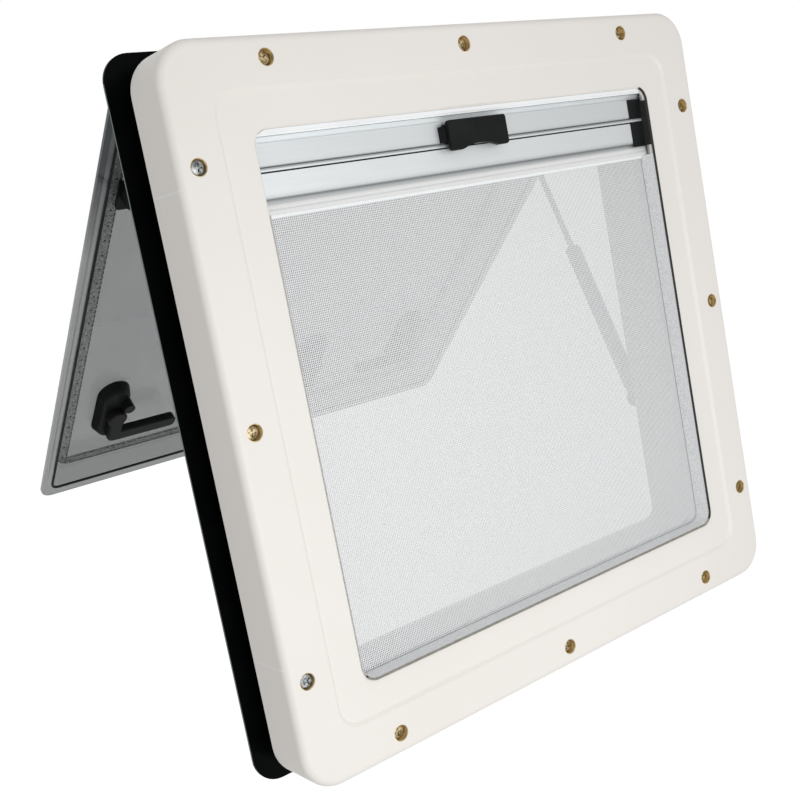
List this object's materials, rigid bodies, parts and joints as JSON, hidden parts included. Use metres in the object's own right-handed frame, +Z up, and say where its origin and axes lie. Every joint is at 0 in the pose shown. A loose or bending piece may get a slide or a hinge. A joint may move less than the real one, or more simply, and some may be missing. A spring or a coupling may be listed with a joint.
{
  "type": "caravan window",
  "caption": "Square top-hinged caravan window: moulded inner frame with blind and flyscreen, black outer frame, tinted double-pane flap on gas struts with turn latches.",
  "frame": {"origin": "middle of the bottom rail, on the outer frame's back face that sits on the wall's outside", "axes": "+X to the right seen from inside, +Y outwards through the wall, +Z up"},
  "size_m": [0.535, 0.4699, 0.535],
  "materials": {
    "cream_pu": "satin moulded skin",
    "white_lining": "satin",
    "black_frame": "gloss black",
    "black_rubber": "matt",
    "tinted_acrylic": "clear grey tint",
    "clear_acrylic": "clear, faint grey",
    "bond": "grainy weld",
    "bare_aluminium": "satin anodised",
    "white_plastic": "satin",
    "grey_plastic": "satin",
    "black_plastic": "satin",
    "strut_tube": "satin grey",
    "strut_rod": "ground",
    "screen_mesh": "fine woven mesh"
  },
  "bodies": {
    "frame": {"inner_frame": "cream_pu", "outer_frame": "black_frame", "reveal_lining": "white_lining", "flap_seal": "black_rubber", "hinge_rail": "black_frame", "strut_bracket_left": "black_plastic", "strut_bracket_right": "black_plastic", "latch_keeper_left": "black_plastic", "latch_keeper_middle": "black_plastic", "latch_keeper_right": "black_plastic", "blind_cassette": "white_plastic", "screen_cassette": "white_plastic", "side_guide_left": "grey_plastic", "side_guide_right": "grey_plastic", "blind_bar": "bare_aluminium", "screen_bar": "bare_aluminium", "blind_bar_cap_left": "black_plastic", "blind_bar_cap_right": "black_plastic", "screen_bar_cap_left": "black_plastic", "screen_bar_cap_right": "black_plastic", "screen_clamp_strip": "white_plastic", "bar_clip": "black_plastic", "flyscreen": "screen_mesh"},
    "flap": {"outer_pane": "tinted_acrylic", "inner_pane": "clear_acrylic", "bond_strip": "bond", "flap_hinge_profile": "black_frame", "flap_bracket_left": "black_plastic", "flap_bracket_right": "black_plastic", "latch_base_left": "black_plastic", "latch_base_middle": "black_plastic", "latch_base_right": "black_plastic"},
    "strut_tube_left": {"strut_tube_left": "strut_tube"},
    "strut_rod_left": {"strut_rod_left": "strut_rod"},
    "strut_tube_right": {"strut_tube_right": "strut_tube"},
    "strut_rod_right": {"strut_rod_right": "strut_rod"},
    "latch_lever_left": {"latch_lever_left": "black_plastic"},
    "latch_lever_middle": {"latch_lever_middle": "black_plastic"},
    "latch_lever_right": {"latch_lever_right": "black_plastic"}
  },
  "joints": [
    {"name": "flap_hinge", "type": "hinge", "parent": "frame", "child": "flap", "pos_m": [0, 0.01, 0.5155], "axis": [-1, 0, 0], "range_deg": [0, 49.2]},
    {"name": "strut_left_pivot", "type": "hinge", "parent": "frame", "child": "strut_tube_left", "pos_m": [-0.215, 0.016, 0.1745], "axis": [1, 0, 0], "range_deg": [0, 19.8]},
    {"name": "strut_left_slide", "type": "slide", "parent": "strut_tube_left", "child": "strut_rod_left", "axis": [0, -0.3278, -0.9447], "range_m": [0, 0.06128]},
    {"name": "strut_right_pivot", "type": "hinge", "parent": "frame", "child": "strut_tube_right", "pos_m": [0.215, 0.016, 0.1745], "axis": [1, 0, 0], "range_deg": [0, 19.8]},
    {"name": "strut_right_slide", "type": "slide", "parent": "strut_tube_right", "child": "strut_rod_right", "axis": [0, -0.3278, -0.9447], "range_m": [0, 0.06128]},
    {"name": "latch_left_turn", "type": "hinge", "parent": "flap", "child": "latch_lever_left", "pos_m": [-0.184, 0.32384, 0.24856], "axis": [0, 0.6534, 0.757], "range_deg": [0, 90]},
    {"name": "latch_middle_turn", "type": "hinge", "parent": "flap", "child": "latch_lever_middle", "pos_m": [0.05, 0.32384, 0.24856], "axis": [0, -0.6534, -0.757], "range_deg": [0, 90]},
    {"name": "latch_right_turn", "type": "hinge", "parent": "flap", "child": "latch_lever_right", "pos_m": [0.184, 0.32384, 0.24856], "axis": [0, -0.6534, -0.757], "range_deg": [0, 90]}
  ],
  "couplings": [
    {"joint": "strut_left_pivot", "follows": "flap_hinge", "ratio": 0.40247},
    {"joint": "strut_left_slide", "follows": "flap_hinge", "m_per_rad": 0.071368},
    {"joint": "strut_right_pivot", "follows": "flap_hinge", "ratio": 0.40247},
    {"joint": "strut_right_slide", "follows": "flap_hinge", "m_per_rad": 0.071368}
  ]
}
